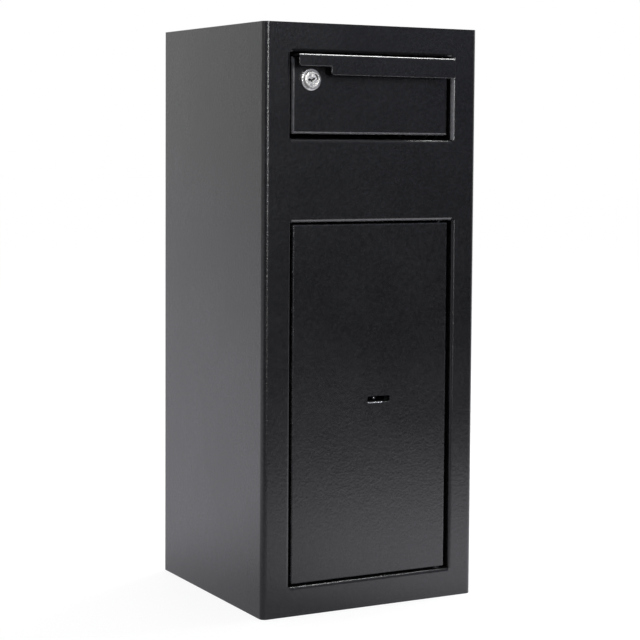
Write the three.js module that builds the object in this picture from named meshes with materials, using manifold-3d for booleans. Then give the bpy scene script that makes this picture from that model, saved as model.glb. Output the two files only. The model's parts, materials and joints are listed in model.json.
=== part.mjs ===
// Slim drop safe with a sliding deposit drawer above a hinged, key-locked door.
// Millimetres. x runs to the right seen from the front, y into the safe and z up.
// The origin is the centre of the underside. The door and the drawer are shut and
// both locks are open, so that each of them can move.
import * as THREE from "three";
import { mergeVertices } from "three/addons/utils/BufferGeometryUtils.js";
import Module from "manifold-3d";

const wasm = await Module();
wasm.setup();

// Driving dimensions. A depth is measured from the plane of the case's front face.
const CASE = { width: 248, depth: 250, height: 600, sheet: 2, corner: 6, bend: 4, panel: 3, seam: 0.3 };
const DOOR_OPENING = { left: -93, right: 95.5, bottom: 30.5, top: 400.25, flange: 16 };
const DRAWER_OPENING = { left: -94, right: 94, bottom: 484.5, top: 570.25, flange: 13 };
const ANCHOR = { radius: 6, floorOffset: 45, lowZ: 110, highZ: 350 };
const PLUG = { play: 0.3, rim: 2.5, head: 2, chamfer: 1, stem: 2.5 };
const MAT = { inset: 4, front: 26, back: 6, top: 5.5, corner: 6, hole: 9.5 };
const BAFFLE = {
  side: 118,
  sheet: 1.5,
  rootZ: 446,
  flange: 20,
  tipZ: 396,
  tipDepth: 182,
  teeth: 16,
  tooth: 9,
};

const DOOR = {
  left: -90.5,
  right: 90.75,
  bottom: 32.25,
  top: 398.25,
  front: 2.25,
  plate: 4,
  edge: 0.75,
  corner: 1.5,
};
const HINGE = { x: 84, depth: 9.5, pin: 3, pinSunk: 22, pinReach: 7 };
const HINGE_BLOCK = { height: 24, thickness: 9.5, beyondPin: 5.5, gapToCasing: 1, belowTop: 2 };
const HINGE_BUSH = { half: 8, front: 4, back: 17, height: 7, washer: 5.5, washerSheet: 1.5 };
const CASING = { left: -86, right: 74, bottom: 46, top: 387, back: 36.25, wall: 2, lip: 12 };
const COVER = { sheet: 1.5, screwInset: 8, corner: 3 };
const KEYHOLE = { x: 10, z: 216, length: 26, height: 6.4, corner: 1.6, centre: 3.7, sleeve: 1.6 };
const KEY_PIN = { radius: 1.75, tip: 12, nose: 1.2, taper: 1 };
const LOCK = { left: -23, right: 43, bottom: 178.5, top: 253.5, front: 14.25, back: 33.25, rearWall: 3 };
const LOCK_FOOT = { inset: 7, radius: 5, corner: 3 };
const LOCK_TAIL = {
  right: -3,
  front: 19.75,
  back: 26.75,
  bottom: 205,
  top: 230,
  neck: 4,
  shoulder: 0.75,
  play: 0.5,
  pocketRight: 1,
};
const SCREW = {
  shank: 2,
  hole: 2.2,
  head: 4,
  headTop: 3,
  headHeight: 2,
  slotLength: 2,
  slotHalf: 0.5,
  slotDepth: 1,
};
const BOLT = { radius: 8, depth: 25.5, tip: -88, length: 42, spacing: 107.5, throw: 13, spigot: 4 };
const BOLT_BAR = { sheet: 3, front: 17, back: 34, beyondBolt: 16, tabRight: -12, tabHalf: 11 };
const STUD = { x: -28, radius: 3, head: 5.5, headFront: 20.4, headBack: 22.6, slack: 0.3 };

const DRAWER = {
  left: -90.5,
  right: 91.5,
  bottom: 489,
  top: 566.75,
  front: 5,
  back: 14.5,
  floorBack: 36,
  sheet: 2,
  bend: 3,
};
const TRAVEL = 105;
const LIP = {
  left: -90.25,
  right: 91,
  front: -11,
  drop: 20.5,
  bend: 2.5,
  notchWidth: 36.25,
  notchDrop: 12,
  corner: 3,
};
const TRAY = { side: 84, sheet: 1.5, bend: 2.5, front: 7, back: 137, bottom: 492, top: 558, backTop: 562 };
const TRAY_NOTCH = { backRun: 8, footRun: 19, footGap: 2, lockBack: 21, lockHalf: 14 };
const INNER_FRONT = { depth: 23.75, top: 562, kneeZ: 532, footDepth: 36.5, footZ: 500.5, bend: 4 };
const FLAP = {
  pivotDepth: 42,
  pivotZ: 497,
  arm: 92,
  hang: 32,
  side: 82,
  sheet: 1.5,
  knuckle: 3.5,
  rodHalf: 86,
};
const GUIDE = { inner: 96.5, sheet: 2, front: 15, back: 232, slot: 4.3 };
const GUIDE_EDGE = { above: 14, ahead: 14, below: 15, behind: 16, backZ: 490, roofFlange: 16 };
const GUIDE_ROD = { radius: 2, roller: 4, beyond: 2, rollerLip: 0.5 };
const RAIL = {
  z: 519.5,
  half: 13.5,
  gauge: 1.25,
  bend: 2,
  front: 17,
  length: 186,
  outerLip: 8.5,
  innerLip: 7.5,
};
const CAGE = {
  front: 71,
  length: 80,
  ball: 2,
  balls: 3,
  play: 0.125,
  web: 93.5,
  mouth: 88,
  rowX: 90,
  sheet: 0.7,
  bend: 1.2,
};
const CAM_LOCK = {
  x: -70.25,
  z: 543.75,
  flange: 11.25,
  barrel: 9.5,
  disc: 8.5,
  plug: 6,
  rim: 2.8,
  chamfer: 0.8,
};
const PLUG_FACE = { proud: 2.7, edge: 0.6, gap: 0.15, tail: 15, square: 3.4, squareBack: 17.3 };
const KEYWAY = { half: 4, tall: 0.9, corner: 0.4, wardLeft: 0.8, wardRight: 2.4, wardDrop: 2, depth: 9 };
const CAM = { arm: 34, heel: 9, half: 7.5, corner: 4, front: 15.25, sheet: 2, play: 0.15 };
const CAM_SCREW = { radius: 5.2, height: 3.25, gap: 0.25 };
const CAM_NUT = { radius: 12.2, thickness: 3.5, play: 0.15, holePlay: 0.25, barrelBack: 14.75 };

// Radial play of a shaft that turns or slides in a hole
const RUNNING = 0.1;
// Facets of a sheet-metal bend, of a shaft, of a small screw and of a large round face
const BEND_STEPS = 5;
const ROUND = 20;
const SMALL_ROUND = 12;
const LARGE_ROUND = 40;

// Surface finishes, from the photograph where it shows them
const FINISH = {
  powder: { color: 0x232529, roughness: 0.55, metalness: 0.1 },
  zinc: { color: 0xb4b6b4, roughness: 0.38, metalness: 1 },
  chrome: { color: 0xd9dadc, roughness: 0.1, metalness: 1 },
  steel: { color: 0x9a9c9e, roughness: 0.32, metalness: 1 },
  brass: { color: 0xb5954f, roughness: 0.35, metalness: 1 },
  rubber: { color: 0x17181a, roughness: 0.85, metalness: 0 },
  nylon: { color: 0xe4e2da, roughness: 0.5, metalness: 0 },
};

const safe = new THREE.Group();
safe.name = "drop_safe";

// Maps the drawing plane of a shape, and the way it is extruded, onto the safe's axes
const DRAWN_FACING = {
  x: new THREE.Matrix4().set(0, 0, 1, 0, 1, 0, 0, 0, 0, 1, 0, 0, 0, 0, 0, 1),
  y: new THREE.Matrix4().set(1, 0, 0, 0, 0, 0, -1, 0, 0, 1, 0, 0, 0, 0, 0, 1),
  z: new THREE.Matrix4(),
};

// The y of a plane that lies a given depth behind the front face
function deep(depth) {
  return depth - CASE.depth / 2;
}

function solidOf(geometry) {
  const loose = geometry.index ? geometry.toNonIndexed() : geometry.clone();
  const points = new THREE.BufferGeometry();
  points.setAttribute("position", loose.getAttribute("position"));
  const merged = mergeVertices(points, 1e-4);
  return new wasm.Manifold(
    new wasm.Mesh({
      numProp: 3,
      vertProperties: merged.attributes.position.array,
      triVerts: new Uint32Array(merged.index.array),
    }),
  );
}

function geometryOf(solid) {
  const mesh = solid.getMesh();
  const geometry = new THREE.BufferGeometry();
  geometry.setAttribute("position", new THREE.BufferAttribute(mesh.vertProperties, 3));
  geometry.setIndex(new THREE.BufferAttribute(mesh.triVerts, 1));
  const flat = geometry.toNonIndexed();
  flat.computeVertexNormals();
  return flat;
}

function addPiece(name, finish, solid, parent = safe) {
  const material = new THREE.MeshStandardMaterial(FINISH[finish]);
  const mesh = new THREE.Mesh(geometryOf(solid), material);
  mesh.name = name;
  parent.add(mesh);
  return mesh;
}

function joined(solids) {
  return solids.reduce((whole, next) => whole.add(next));
}

function cutBy(solid, cutters) {
  return cutters.reduce((whole, next) => whole.subtract(next), solid);
}

// A block between two x, two depths and two heights
function block([left, right], [front, back], [bottom, top]) {
  const geometry = new THREE.BoxGeometry(right - left, back - front, top - bottom);
  geometry.translate((left + right) / 2, deep((front + back) / 2), (bottom + top) / 2);
  return solidOf(geometry);
}

// A round bar along an axis; at holds its other two coordinates in the order x, depth, z
function rod(axis, at, radius, [from, to], sides = ROUND, endRadius = radius) {
  const geometry = new THREE.CylinderGeometry(endRadius, radius, to - from, sides);
  const middle = (from + to) / 2;
  if (axis === "x") {
    geometry.rotateZ(-Math.PI / 2);
    geometry.translate(middle, deep(at[0]), at[1]);
  } else if (axis === "y") {
    geometry.translate(at[0], deep(middle), at[1]);
  } else {
    geometry.rotateX(Math.PI / 2);
    geometry.translate(at[0], deep(at[1]), middle);
  }
  return solidOf(geometry);
}

// A flat or folded section drawn across an axis: depth and z for x, x and z for y,
// x and depth for z
function extruded(axis, shape, [from, to], options = {}) {
  const rim = options.rim ?? 0;
  const geometry = new THREE.ExtrudeGeometry(shape, {
    depth: to - from - 2 * rim,
    curveSegments: options.curveSegments ?? 6,
    bevelEnabled: rim > 0,
    bevelThickness: rim,
    bevelSize: rim,
    bevelOffset: -rim,
    bevelSegments: options.rimSteps ?? 2,
  });
  geometry.translate(0, 0, rim);
  geometry.applyMatrix4(DRAWN_FACING[axis]);
  if (axis === "x") geometry.translate(from, deep(0), 0);
  if (axis === "y") geometry.translate(0, deep(to), 0);
  if (axis === "z") geometry.translate(0, deep(0), from);
  return solidOf(geometry);
}

function outline(points) {
  return new THREE.Shape(points.map(([u, v]) => new THREE.Vector2(u, v)));
}

function roundedRectangle([left, right], [low, high], radius) {
  const shape = new THREE.Shape();
  const quarter = Math.PI / 2;
  shape.absarc(right - radius, low + radius, radius, -quarter, 0, false);
  shape.absarc(right - radius, high - radius, radius, 0, quarter, false);
  shape.absarc(left + radius, high - radius, radius, quarter, 2 * quarter, false);
  shape.absarc(left + radius, low + radius, radius, 2 * quarter, 3 * quarter, false);
  return shape;
}

// The edge-on outline of a sheet folded along its middle line, with a given outer bend
function foldedSheet(corners, sheet, outerBend) {
  const points = corners.map(([u, v]) => new THREE.Vector2(u, v));
  const radius = outerBend - sheet / 2;
  const rail = [];
  points.forEach((point, i) => {
    const before = points[i - 1];
    const after = points[i + 1];
    const into = before && point.clone().sub(before).normalize();
    const out = after && after.clone().sub(point).normalize();
    const along = into ?? out;
    const normal = new THREE.Vector2(-along.y, along.x);
    if (!into || !out) {
      rail.push({ point, normal });
      return;
    }
    const turn = Math.atan2(into.cross(out), into.dot(out));
    const reach = radius * Math.tan(Math.abs(turn) / 2);
    const side = Math.sign(turn);
    const centre = point.clone().addScaledVector(into, -reach);
    centre.addScaledVector(normal, side * radius);
    for (let step = 0; step <= BEND_STEPS; step++) {
      const facing = normal.clone();
      facing.rotateAround(new THREE.Vector2(), (turn * step) / BEND_STEPS);
      const place = centre.clone().addScaledVector(facing, -side * radius);
      rail.push({ point: place, normal: facing });
    }
  });
  const edge = (part, way) => part.point.clone().addScaledVector(part.normal, (way * sheet) / 2);
  const right = rail.map((part) => edge(part, -1));
  const left = rail.map((part) => edge(part, 1));
  return new THREE.Shape([...right, ...left.reverse()]);
}

// The four inward folds round an opening in the case's front
function openingFolds({ left, right, bottom, top, flange }) {
  const middle = CASE.sheet / 2;
  const reach = CASE.bend + 2;
  const upright = (x, way) =>
    foldedSheet(
      [[x + way * reach, middle], [x + way * middle, middle], [x + way * middle, flange]],
      CASE.sheet,
      CASE.bend,
    );
  const level = (z, way) =>
    foldedSheet(
      [[middle, z + way * reach], [middle, z + way * middle], [flange, z + way * middle]],
      CASE.sheet,
      CASE.bend,
    );
  return joined([
    extruded("z", upright(left, -1), [bottom, top]),
    extruded("z", upright(right, 1), [bottom, top]),
    extruded("x", level(bottom, -1), [left - CASE.sheet, right + CASE.sheet]),
    extruded("x", level(top, 1), [left - CASE.sheet, right + CASE.sheet]),
  ]);
}

// The hole cut for an opening leaves a small flat tab in each corner, beside the folds
function openingCut({ left, right, bottom, top }) {
  const through = [-1, CASE.sheet + 1];
  return joined([
    block([left - CASE.bend, right + CASE.bend], through, [bottom, top]),
    block([left, right], through, [bottom - CASE.bend, top + CASE.bend]),
  ]);
}

// An outline across and back whose two front corners are rounded
function frontRounded([low, high], [front, back], radius) {
  const shape = new THREE.Shape();
  const quarter = Math.PI / 2;
  shape.moveTo(high, back);
  shape.lineTo(low, back);
  shape.absarc(low + radius, front + radius, radius, 2 * quarter, 3 * quarter, false);
  shape.absarc(high - radius, front + radius, radius, 3 * quarter, 4 * quarter, false);
  return shape;
}

// A shallow pan, folded on all four sides, mitred at its corners and open at the back
function pan(across, [front, back], upright, sheet, bend) {
  const grown = ([low, high], by) => [low - by, high + by];
  const plan = frontRounded(across, [front, back], bend);
  const profile = frontRounded(upright, [front, back], bend);
  const turned = outline(profile.getPoints(BEND_STEPS).map(({ x, y }) => [y, x]));
  const curveSegments = BEND_STEPS;
  const full = extruded("z", plan, grown(upright, 1), { curveSegments }).intersect(
    extruded("x", turned, grown(across, 1)),
  );
  return full.subtract(block(grown(across, -sheet), [front + sheet, back + 1], grown(upright, -sheet)));
}

// Case

function caseShell() {
  const half = (CASE.width - CASE.sheet) / 2;
  const wrap = foldedSheet(
    [
      [-half, CASE.depth],
      [-half, CASE.sheet / 2],
      [half, CASE.sheet / 2],
      [half, CASE.depth],
    ],
    CASE.sheet,
    CASE.corner,
  );
  const openings = [DOOR_OPENING, DRAWER_OPENING];
  const sheet = cutBy(extruded("z", wrap, [0, CASE.height]), openings.map(openingCut));
  const folded = joined([sheet, ...openings.map(openingFolds)]);
  return cutBy(folded, [hingeBore()]);
}

// The line of the hinge pins through the case, and nothing else on its way
function hingeBore() {
  const span = [DOOR_OPENING.bottom - 2 * HINGE_BUSH.height, DOOR_OPENING.top + 2 * HINGE_BUSH.height];
  return rod("z", [HINGE.x, HINGE.depth], HINGE.pin + RUNNING, span);
}

function casePanels() {
  const inside = CASE.width / 2 - CASE.sheet;
  const backFace = CASE.depth - CASE.panel;
  const middle = CASE.depth / 2;
  const radius = CASE.corner - CASE.sheet + CASE.seam;
  const level = frontRounded([-inside, inside], [CASE.sheet, backFace], radius);
  const roof = extruded("z", level, [CASE.height - CASE.panel, CASE.height]);
  const floor = extruded("z", level, [0, CASE.panel]);
  const floorHoles = [-1, 1].map((way) =>
    rod("z", [0, middle + way * ANCHOR.floorOffset], ANCHOR.radius, [-1, CASE.panel + 1]),
  );
  const backHoles = [ANCHOR.lowZ, ANCHOR.highZ].map((z) =>
    rod("y", [0, z], ANCHOR.radius, [backFace - 1, CASE.depth + 1]),
  );
  addPiece("top_panel", "powder", roof);
  addPiece("bottom_panel", "powder", cutBy(floor, floorHoles));
  const back = block([-inside, inside], [backFace, CASE.depth], [0, CASE.height]);
  addPiece("back_panel", "powder", cutBy(back, backHoles));
}

// Rubber plugs in the anchor holes, with a head on the inside of the case
function anchorPlugs() {
  const head = ANCHOR.radius + PLUG.rim;
  const brim = head - PLUG.chamfer;
  const stem = ANCHOR.radius - PLUG.play;
  const middle = CASE.depth / 2;
  const backFace = CASE.depth - CASE.panel;
  [-1, 1].forEach((way, i) => {
    const at = [0, middle + way * ANCHOR.floorOffset];
    const plug = joined([
      rod("z", at, stem, [CASE.panel - PLUG.stem, CASE.panel + PLUG.head / 2]),
      rod("z", at, head, [CASE.panel, CASE.panel + PLUG.head], ROUND, brim),
    ]);
    addPiece(`floor_plug_${i + 1}`, "rubber", plug);
  });
  [ANCHOR.lowZ, ANCHOR.highZ].forEach((z, i) => {
    const plug = joined([
      rod("y", [0, z], stem, [backFace - PLUG.head / 2, backFace + PLUG.stem]),
      rod("y", [0, z], brim, [backFace - PLUG.head, backFace], ROUND, head),
    ]);
    addPiece(`back_plug_${i + 1}`, "rubber", plug);
  });
}

function floorMat() {
  const side = CASE.width / 2 - MAT.inset;
  const middle = CASE.depth / 2;
  const sheet = roundedRectangle([-side, side], [MAT.front, CASE.depth - MAT.back], MAT.corner);
  const holes = [-1, 1].map((way) =>
    rod("z", [0, middle + way * ANCHOR.floorOffset], MAT.hole, [0, 2 * MAT.top]),
  );
  addPiece("floor_mat", "rubber", cutBy(extruded("z", sheet, [CASE.panel, MAT.top]), holes));
}

// Blocks that carry the hinge pins, welded behind the door opening's folded edges
function hingeBushes() {
  const { half, front, back, height, washer, washerSheet } = HINGE_BUSH;
  const across = [HINGE.x - half, HINGE.x + half];
  const above = DOOR_OPENING.top + CASE.sheet;
  const below = DOOR_OPENING.bottom - CASE.sheet;
  const bush = (span) => cutBy(block(across, [front, back], span), [hingeBore()]);
  addPiece("hinge_bush_upper", "steel", bush([above, above + height]));
  addPiece("hinge_bush_lower", "steel", bush([below - height, below]));
  const sill = DOOR_OPENING.bottom;
  const ring = rod("z", [HINGE.x, HINGE.depth], washer, [sill, sill + washerSheet]);
  addPiece("hinge_washer", "brass", cutBy(ring, [hingeBore()]));
}

// Toothed plate on the back panel that stops deposits being pulled back up
function fishingBaffle() {
  const { side, rootZ, sheet, teeth, tooth } = BAFFLE;
  const root = CASE.depth - CASE.panel;
  const kneeZ = rootZ - BAFFLE.flange;
  const run = root - BAFFLE.tipDepth;
  const fall = kneeZ - BAFFLE.tipZ;
  const length = Math.hypot(run, fall);
  const pitch = (2 * side) / teeth;
  const blade = [[side, sheet], [-side, sheet]];
  for (let i = 0; i < teeth; i++) {
    const left = -side + i * pitch;
    blade.push([left, -length + tooth], [left + pitch / 2, -length]);
  }
  blade.push([side, -length + tooth]);
  const geometry = new THREE.ExtrudeGeometry(outline(blade), { depth: sheet, bevelEnabled: false });
  geometry.rotateX(Math.atan2(fall, run));
  geometry.translate(0, deep(root - sheet), kneeZ);
  const flange = block([-side, side], [root - sheet, root], [kneeZ - 1, rootZ]);
  const beyond = block([-CASE.width, CASE.width], [root, CASE.depth + CASE.panel], [0, CASE.height]);
  addPiece("fishing_baffle", "zinc", cutBy(joined([solidOf(geometry), flange]), [beyond]));
}

// The drop mechanism: the flap's guide rod follows a slot in each guide plate

// Where the guide rod is when the drawer has come out by a given distance
function guideRodAt(out) {
  const angle = THREE.MathUtils.degToRad(FLAP.hang) * (1 - out / TRAVEL);
  return [
    FLAP.pivotDepth - out + FLAP.arm * Math.cos(angle),
    FLAP.pivotZ - FLAP.arm * Math.sin(angle),
  ];
}

// The slot is the rod's path widened by a radius, with round ends
function guideSlot(radius) {
  const steps = 18;
  const ends = 8;
  const path = [];
  for (let i = 0; i <= steps; i++) {
    path.push(new THREE.Vector2(...guideRodAt((TRAVEL * i) / steps)));
  }
  const heading = (i) => {
    const ahead = path[Math.min(i + 1, steps)];
    const behind = path[Math.max(i - 1, 0)];
    return ahead.clone().sub(behind).angle();
  };
  const around = (centre, angle) => [
    centre.x + radius * Math.cos(angle),
    centre.y + radius * Math.sin(angle),
  ];
  const points = [];
  path.forEach((place, i) => points.push(around(place, heading(i) - Math.PI / 2)));
  for (let i = 1; i < ends; i++) {
    points.push(around(path[steps], heading(steps) - Math.PI / 2 + (Math.PI * i) / ends));
  }
  for (let i = steps; i >= 0; i--) points.push(around(path[i], heading(i) + Math.PI / 2));
  for (let i = 1; i < ends; i++) {
    points.push(around(path[0], heading(0) + Math.PI / 2 + (Math.PI * i) / ends));
  }
  return outline(points);
}

function guidePlate(way) {
  const roof = CASE.height - CASE.panel;
  const inner = GUIDE.inner;
  const outer = inner + GUIDE.sheet;
  const low = guideRodAt(0);
  const high = guideRodAt(TRAVEL);
  const { above, ahead, below, behind, backZ, roofFlange } = GUIDE_EDGE;
  const flangeBottom = roof - GUIDE.sheet;
  const side = outline([
    [GUIDE.front, roof - GUIDE.sheet / 2],
    [GUIDE.front, high[1] - above],
    [low[0] - ahead, low[1] - below],
    [low[0] + behind, low[1] - below],
    [GUIDE.back, backZ],
    [GUIDE.back, roof - GUIDE.sheet / 2],
  ]);
  const across = (from, to) => (way > 0 ? [from, to] : [-to, -from]);
  const plate = extruded("x", side, across(inner, outer));
  const flange = block(across(inner, inner + roofFlange), [GUIDE.front, GUIDE.back], [flangeBottom, roof]);
  const slot = extruded("x", guideSlot(GUIDE.slot), across(inner - 1, outer + 1));
  return cutBy(joined([plate, flange]), [slot]);
}

// Ball slides that carry the drawer: an outer channel, an inner channel and a ball cage

// A channel's corners, with its mouth towards one side, mirrored for the left
function channel(way, web, mouth, reach) {
  const corners = [[mouth, -reach], [web, -reach], [web, reach], [mouth, reach]];
  return corners.map(([x, z]) => [way * x, RAIL.z + z]);
}

function outerRail(way) {
  const web = GUIDE.inner - RAIL.gauge / 2;
  const reach = RAIL.half - RAIL.gauge / 2;
  const section = foldedSheet(channel(way, web, web - RAIL.outerLip, reach), RAIL.gauge, RAIL.bend);
  return extruded("y", section, [RAIL.front, RAIL.front + RAIL.length]);
}

function innerRail(way) {
  const web = TRAY.side + RAIL.gauge / 2;
  const reach = RAIL.half - 1.5 * RAIL.gauge - 2 * (CAGE.ball + CAGE.play);
  const section = foldedSheet(channel(way, web, web + RAIL.innerLip, reach), RAIL.gauge, RAIL.bend);
  return extruded("y", section, [RAIL.front + 1, RAIL.front + RAIL.length]);
}

function ballCage(way) {
  const row = RAIL.half - RAIL.gauge - CAGE.ball - CAGE.play;
  const section = foldedSheet(channel(way, CAGE.web, CAGE.mouth, row), CAGE.sheet, CAGE.bend);
  const strip = extruded("y", section, [CAGE.front, CAGE.front + CAGE.length]);
  const balls = [];
  for (let i = 0; i < CAGE.balls; i++) {
    const depth = CAGE.front + (CAGE.length * (i + 0.5)) / CAGE.balls;
    for (const side of [-1, 1]) {
      const ball = new THREE.IcosahedronGeometry(CAGE.ball, 1);
      ball.translate(way * CAGE.rowX, deep(depth), RAIL.z + side * row);
      balls.push(solidOf(ball));
    }
  }
  return joined([strip, ...balls]);
}

// Drawer

function drawerFront() {
  const { left, right, bottom, top, front, back, floorBack, sheet, bend } = DRAWER;
  const face = pan([left, right], [front, back], [bottom, top], sheet, bend);
  const floor = block([left + bend, right - bend], [back - 1, floorBack], [bottom, bottom + sheet]);
  const lockAt = [CAM_LOCK.x, CAM_LOCK.z];
  const lockHole = rod("y", lockAt, CAM_LOCK.barrel + CAM_NUT.holePlay, [front - 1, back]);
  return cutBy(joined([face, floor]), [lockHole]);
}

function pullLip() {
  const level = DRAWER.top + DRAWER.sheet / 2;
  const upright = LIP.front + DRAWER.sheet / 2;
  const bottom = DRAWER.top + DRAWER.sheet - LIP.drop;
  const section = foldedSheet(
    [[DRAWER.back, level], [upright, level], [upright, bottom]],
    DRAWER.sheet,
    LIP.bend,
  );
  const lip = extruded("x", section, [LIP.left, LIP.right]);
  const notchRight = LIP.left + LIP.notchWidth;
  const notchTop = DRAWER.top + DRAWER.sheet - LIP.notchDrop;
  const through = [LIP.front - 1, LIP.front + DRAWER.sheet + 1];
  const notch = block([LIP.left - 1, notchRight], through, [bottom - 1, notchTop]);
  return cutBy(lip, [notch, ...lipCorners(notchRight, notchTop, bottom, through)]);
}

// What rounds the lip's lower corners: a square less a quarter of a circle
function lipCorners(notchRight, notchTop, bottom, through) {
  const r = LIP.corner;
  const corner = (x, z, way) => {
    const square = way > 0 ? [x - r, x + 1] : [x - 1, x + r];
    const round = rod("y", [x - way * r, z + r], r, [through[0] - 1, through[1] + 1], LARGE_ROUND);
    return block(square, through, [z - 1, z + r]).subtract(round);
  };
  return [
    corner(LIP.right, bottom, 1),
    corner(notchRight, bottom, -1),
    corner(LIP.left, notchTop, -1),
  ];
}

// Sides and back of the tray, folded from one strip; the trap flap is its floor
function trayWrap() {
  const { side, sheet, bend, front, back, bottom, top, backTop } = TRAY;
  const { backRun, footRun, footGap, lockBack, lockHalf } = TRAY_NOTCH;
  const middle = side - sheet / 2;
  const backMiddle = back - sheet / 2;
  const section = foldedSheet(
    [
      [-middle, front],
      [-middle, backMiddle],
      [middle, backMiddle],
      [middle, front],
    ],
    sheet,
    bend,
  );
  const across = [-side - 1, side + 1];
  const backFoot = FLAP.pivotZ + FLAP.knuckle + footGap;
  return cutBy(extruded("z", section, [bottom, backTop]), [
    block(across, [front - 1, back - backRun], [top, backTop + 1]),
    block(across, [back - footRun, back + 1], [bottom - 1, backFoot]),
    block(across, [front - 1, lockBack], [CAM_LOCK.z - lockHalf, backTop]),
    rod("x", [FLAP.pivotDepth, FLAP.pivotZ], GUIDE_ROD.radius + RUNNING, across),
  ]);
}

// The sloping inner front keeps deposits off the lock and steers them onto the flap
function innerFront() {
  const { depth, top, kneeZ, footDepth, footZ, bend } = INNER_FRONT;
  const section = foldedSheet([[depth, top], [depth, kneeZ], [footDepth, footZ]], TRAY.sheet, bend);
  const inside = TRAY.side - TRAY.sheet;
  return extruded("x", section, [-inside, inside]);
}

// The flap group's origin is its pivot, and its y runs along the plate
function trapFlap() {
  const flap = new THREE.Group();
  flap.name = "flap_at_rest";
  flap.position.set(0, deep(FLAP.pivotDepth), FLAP.pivotZ);
  flap.rotation.x = -THREE.MathUtils.degToRad(FLAP.hang);
  const { arm, side, sheet, knuckle } = FLAP;
  const along = (y) => y + CASE.depth / 2;
  const tube = (y, radius, half) => rod("x", [along(y), 0], radius, [-half, half]);
  const shaftHole = GUIDE_ROD.radius + RUNNING;
  const plate = block([-side, side], [along(0), along(arm)], [knuckle - sheet, knuckle]);
  const body = joined([plate, tube(0, knuckle, side), tube(arm, knuckle, side)]);
  const bores = [0, arm].map((y) => tube(y, shaftHole, side + 1));
  addPiece("trap_flap", "zinc", cutBy(body, bores), flap);
  const outer = GUIDE.inner + GUIDE.sheet;
  addPiece("flap_guide_rod", "steel", tube(arm, GUIDE_ROD.radius, outer + GUIDE_ROD.beyond), flap);
  for (const [name, way] of [["left", -1], ["right", 1]]) {
    const span = [GUIDE.inner - GUIDE_ROD.rollerLip, outer + GUIDE_ROD.rollerLip].map((x) => way * x);
    span.sort((a, b) => a - b);
    const tyre = rod("x", [along(arm), 0], GUIDE_ROD.roller, span);
    const roller = cutBy(tyre, [tube(arm, shaftHole, outer + GUIDE_ROD.beyond)]);
    addPiece(`flap_roller_${name}`, "nylon", roller, flap);
  }
  safe.add(flap);
  const pivot = [FLAP.pivotDepth, FLAP.pivotZ];
  const hingeRod = rod("x", pivot, GUIDE_ROD.radius, [-FLAP.rodHalf, FLAP.rodHalf]);
  addPiece("flap_hinge_rod", "steel", hingeRod);
}

// Cam lock at the drawer's upper left. The cam lies level when open and stands up
// behind the case's folded edge when locked
function camLock() {
  camLockBarrel();
  camLockPlug();
  camLockCam();
}

function onLockAxis(radius, span, sides = LARGE_ROUND, endRadius = radius) {
  return rod("y", [CAM_LOCK.x, CAM_LOCK.z], radius, span, sides, endRadius);
}

function camLockBarrel() {
  const { flange, barrel, rim, chamfer, plug } = CAM_LOCK;
  const face = DRAWER.front;
  const rimFront = face - rim;
  const body = joined([
    onLockAxis(flange - chamfer, [rimFront, rimFront + 1], LARGE_ROUND, flange),
    onLockAxis(flange, [rimFront + 1, face]),
    onLockAxis(barrel, [face - 1, CAM_NUT.barrelBack]),
  ]);
  const plugHole = onLockAxis(plug + RUNNING, [rimFront - 1, CAM_NUT.barrelBack + 1], ROUND);
  addPiece("cam_lock_barrel", "chrome", cutBy(body, [plugHole]));
  const behind = face + DRAWER.sheet;
  const hexagon = onLockAxis(CAM_NUT.radius, [behind, behind + CAM_NUT.thickness], 6);
  const thread = onLockAxis(barrel + CAM_NUT.play, [face, CAM_NUT.barrelBack]);
  addPiece("cam_lock_nut", "zinc", cutBy(hexagon, [thread]));
}

// The plug's face stands proud of the barrel's flange; its square tail carries the cam
function camLockPlug() {
  const { x, z, rim, disc } = CAM_LOCK;
  const { proud, edge, gap, tail, square, squareBack } = PLUG_FACE;
  const discBack = DRAWER.front - rim;
  const discFront = discBack - proud;
  const body = joined([
    onLockAxis(disc - edge, [discFront, discFront + edge], LARGE_ROUND, disc),
    onLockAxis(disc, [discFront + edge, discBack - gap]),
    onLockAxis(CAM_LOCK.plug, [discBack - 2 * gap, tail], ROUND),
    block([x - square, x + square], [tail - 0.1, squareBack], [z - square, z + square]),
  ]);
  const { half, tall, corner, wardLeft, wardRight, wardDrop, depth } = KEYWAY;
  const span = [discFront - 1, depth];
  const slot = roundedRectangle([x - half, x + half], [z - tall, z + tall], corner);
  const ward = block([x + wardLeft, x + wardRight], span, [z - wardDrop, z]);
  addPiece("cam_lock_plug", "chrome", cutBy(body, [extruded("y", slot, span), ward]));
}

function camLockCam() {
  const { x, z } = CAM_LOCK;
  const { arm, heel, half, corner, front, sheet, play } = CAM;
  const outlineOfArm = roundedRectangle([x - heel, x + arm], [z - half, z + half], corner);
  const fit = PLUG_FACE.square + play;
  const back = front + sheet;
  const seat = block([x - fit, x + fit], [front - 1, back + 1], [z - fit, z + fit]);
  addPiece("cam_lock_cam", "zinc", cutBy(extruded("y", outlineOfArm, [front, back]), [seat]));
  const { radius, height, gap } = CAM_SCREW;
  addPiece("cam_lock_screw", "zinc", onLockAxis(radius, [back + gap, back + gap + height], 6));
}

// Door

function roundedBar(across, upright, corner, span) {
  return extruded("y", roundedRectangle(across, upright, corner), span, { curveSegments: 3 });
}

// The hole for a double-bitted key: a round middle with a slot to each side
function keyholeCut(span, extra = 0) {
  const { x, z, corner } = KEYHOLE;
  const half = KEYHOLE.length / 2 + extra;
  const tall = KEYHOLE.height / 2 + extra;
  return joined([
    rod("y", [x, z], KEYHOLE.centre + extra, span),
    roundedBar([x - half, x + half], [z - tall, z + tall], corner, span),
  ]);
}

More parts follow.
